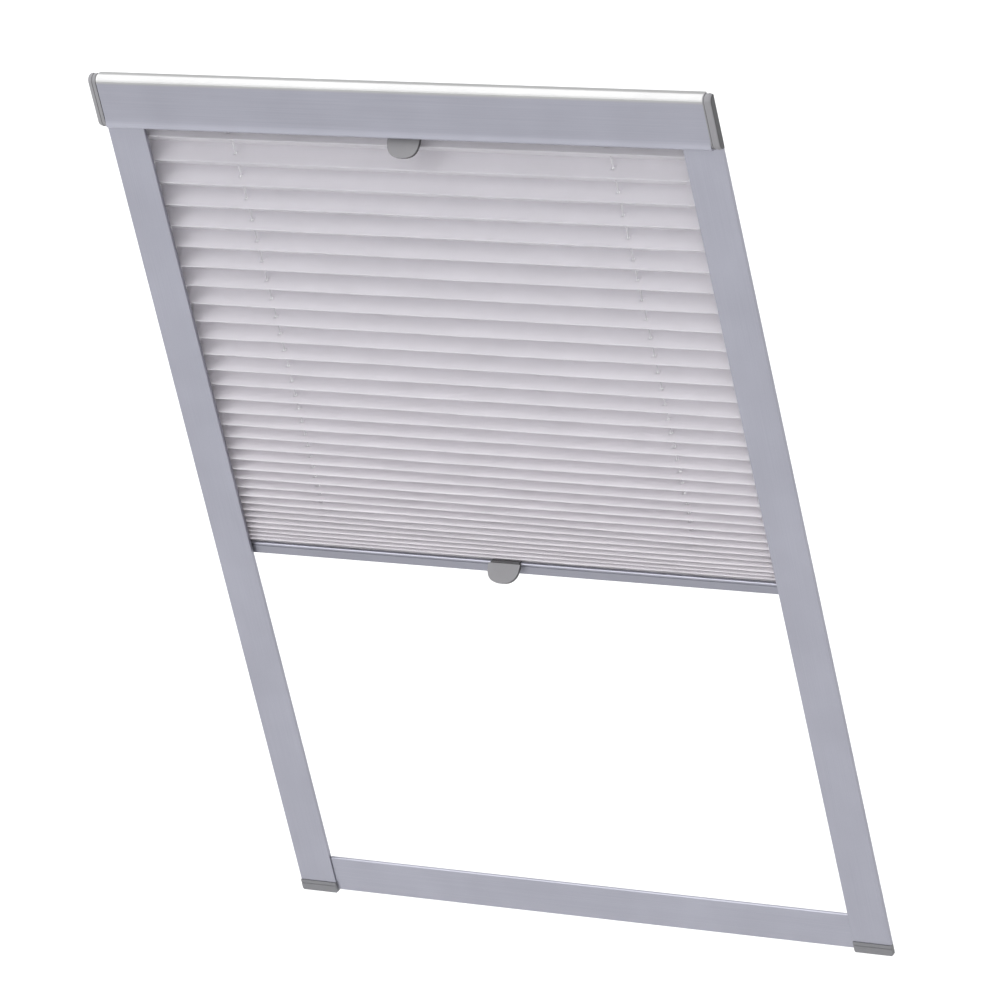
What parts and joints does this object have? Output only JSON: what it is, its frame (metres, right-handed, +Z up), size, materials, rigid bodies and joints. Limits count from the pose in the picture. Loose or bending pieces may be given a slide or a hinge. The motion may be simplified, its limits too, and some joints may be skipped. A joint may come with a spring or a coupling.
{
  "type": "skylight pleated blind",
  "caption": "Pleated blind for a roof window: aluminium side rails, bottom rail and cassette hold a folded fabric between two sliding bars with grips.",
  "frame": {"origin": "centre of the bottom rail's back face, the folded edge that lies on the sash", "axes": "+X along the cassette, +Y through the blind towards the glass, +Z up the side rails to the cassette"},
  "size_m": [0.6264, 0.0344, 0.8294],
  "materials": {
    "anodised_aluminium": "fine satin anodised",
    "bar_aluminium": "satin anodised",
    "cap_plastic": "light grey, fine grain",
    "foot_plastic": "grey, fine grain",
    "grip_plastic": "grey, satin",
    "inner_plastic": "dark grey",
    "strip_plastic": "pale",
    "steel": "bright zinc plated",
    "pleat_cloth": "thin woven polyester, pressed pleats",
    "cord": "braided, pale grey"
  },
  "bodies": {
    "frame": {"cassette_hood": "anodised_aluminium", "cassette_base": "anodised_aluminium", "side_rail_left": "anodised_aluminium", "side_rail_right": "anodised_aluminium", "bottom_rail": "anodised_aluminium", "cassette_cap_left": "cap_plastic", "cassette_cap_right": "cap_plastic", "rail_foot_left": "foot_plastic", "rail_foot_right": "foot_plastic", "cord_anchor_left": "inner_plastic", "cord_anchor_right": "inner_plastic", "mounting_bracket_left": "steel", "mounting_bracket_right": "steel", "corner_bracket_left": "steel", "corner_bracket_right": "steel", "bracket_screw_left": "steel", "bracket_screw_right": "steel", "base_screw_left": "steel", "base_screw_right": "steel", "set_screw_left_1": "steel", "set_screw_left_2": "steel", "set_screw_right_1": "steel", "set_screw_right_2": "steel", "cord_ferrule_left": "steel", "cord_ferrule_right": "steel", "tension_spring_left": "steel", "tension_spring_right": "steel", "pleated_fabric": "pleat_cloth", "cord_left": "cord", "cord_right": "cord"},
    "lower_bar_body": {"lower_bar": "bar_aluminium", "lower_fabric_strip": "strip_plastic", "lower_bar_glider_left": "inner_plastic", "lower_bar_glider_right": "inner_plastic", "lower_bar_grip": "grip_plastic"},
    "upper_bar_body": {"upper_bar": "bar_aluminium", "upper_fabric_strip": "strip_plastic", "upper_bar_glider_left": "inner_plastic", "upper_bar_glider_right": "inner_plastic", "upper_bar_grip": "grip_plastic"}
  },
  "joints": [
    {"name": "lower_bar_slide", "type": "slide", "parent": "frame", "child": "lower_bar_body", "axis": [0, 0, 1], "range_m": [-0.314, 0.234], "deforming": ["pleated_fabric", "cord_left", "cord_right"]},
    {"name": "upper_bar_slide", "type": "slide", "parent": "frame", "child": "upper_bar_body", "axis": [0, 0, 1], "range_m": [-0.146, 0], "deforming": ["pleated_fabric", "cord_left", "cord_right"]}
  ]
}
